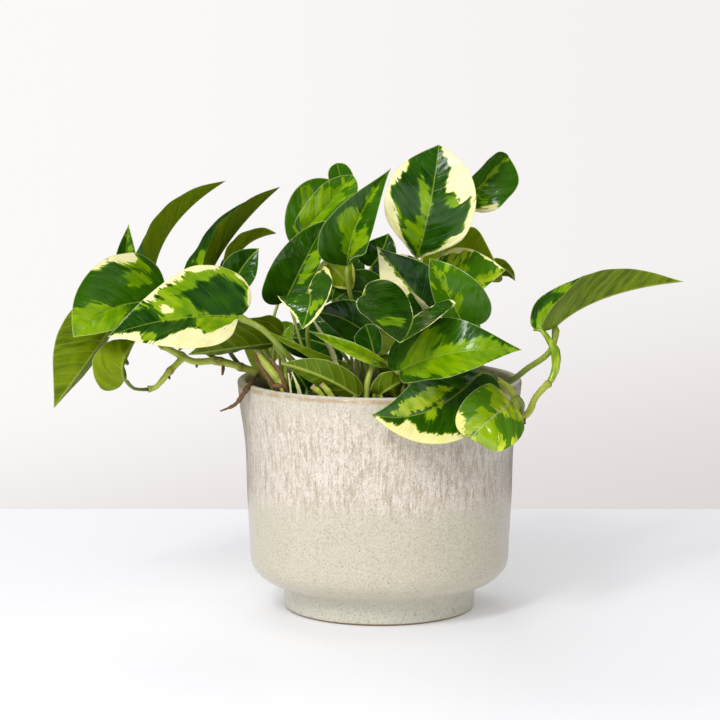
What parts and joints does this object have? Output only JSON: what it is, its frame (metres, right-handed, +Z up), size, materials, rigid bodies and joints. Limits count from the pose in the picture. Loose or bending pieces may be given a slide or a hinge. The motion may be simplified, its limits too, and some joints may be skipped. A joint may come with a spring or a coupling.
{
  "type": "potted pothos plant",
  "caption": "Trailing pothos with variegated heart-shaped leaves on slender stalks, growing from soil in a round footed glazed stoneware pot.",
  "frame": {"origin": "middle of the flat underside of the pot's foot", "axes": "+Z up along the pot's axis, +X to the picture's right along the plant's long spread, -Y towards the front"},
  "size_m": [0.3533, 0.2234, 0.2641],
  "materials": {
    "glazed_stoneware": "satin glaze in pale grey-green and beige, speckled and streaked",
    "potting_soil": "damp crumbly peat and bark",
    "dark_green_leaf": "waxy dark green leaf with lime blotches",
    "lime_leaf": "waxy lime green leaf with yellow blotches",
    "cream_edged_leaf": "waxy green leaf with wide cream margins",
    "olive_underside": "matt olive underside with raised veins",
    "green_stem": "smooth pale green stem with nodes",
    "dry_stem": "pale green stem with a brown dried end",
    "root": "dry brown root"
  },
  "bodies": {
    "root": {"pot": "glazed_stoneware", "soil": "potting_soil", "left_vine": "green_stem", "side_vine": "green_stem", "cut_stem": "dry_stem", "right_vine": "green_stem", "new_leaf": "green_stem", "aerial_root": "root", "leaf_far_left_hanging": "olive_underside", "leaf_left_shield": "dark_green_leaf", "leaf_left_cream": "cream_edged_leaf", "leaf_left_spike": "dark_green_leaf", "leaf_left_blade": "olive_underside", "leaf_second_blade": "dark_green_leaf", "leaf_small_hook": "olive_underside", "leaf_small_dark": "dark_green_leaf", "leaf_vine_tip": "lime_leaf", "leaf_under_olive": "olive_underside", "leaf_rim_olive": "olive_underside", "leaf_centre_dark": "dark_green_leaf", "leaf_twisted_edge": "cream_edged_leaf", "leaf_olive_behind": "olive_underside", "leaf_back_left": "dark_green_leaf", "leaf_cone": "lime_leaf", "leaf_lime_patch": "dark_green_leaf", "leaf_grey_back": "dark_green_leaf", "leaf_big_cream_top": "cream_edged_leaf", "leaf_right_top": "dark_green_leaf", "leaf_back_cream_edge": "olive_underside", "leaf_right_mid": "lime_leaf", "leaf_hook_tip": "olive_underside", "leaf_right_pair": "dark_green_leaf", "leaf_centre_cup": "dark_green_leaf", "leaf_cream_spike": "cream_edged_leaf", "leaf_big_right_lime": "lime_leaf", "leaf_rim_front_cream": "cream_edged_leaf", "leaf_rim_right_lime": "lime_leaf", "leaf_long_right": "olive_underside", "leaf_strip_leaf": "olive_underside", "leaf_inner_dark": "dark_green_leaf", "leaf_inner_mid": "dark_green_leaf", "leaf_rolled_glossy": "lime_leaf", "leaf_low_dark": "dark_green_leaf", "leaf_under_lime": "olive_underside", "leaf_low_right": "olive_underside", "leaf_round_pale": "lime_leaf", "leaf_ear": "dark_green_leaf", "leaf_inner_low": "dark_green_leaf", "leaf_glossy_lobe": "dark_green_leaf", "leaf_rear_left_drape": "dark_green_leaf", "leaf_rear_mid_drape": "dark_green_leaf", "leaf_rear_right_drape": "dark_green_leaf", "leaf_rear_upper_left": "dark_green_leaf", "leaf_rear_upper_right": "dark_green_leaf", "leaf_rear_left_high": "dark_green_leaf", "leaf_rear_right_low": "dark_green_leaf"}
  },
  "joints": []
}
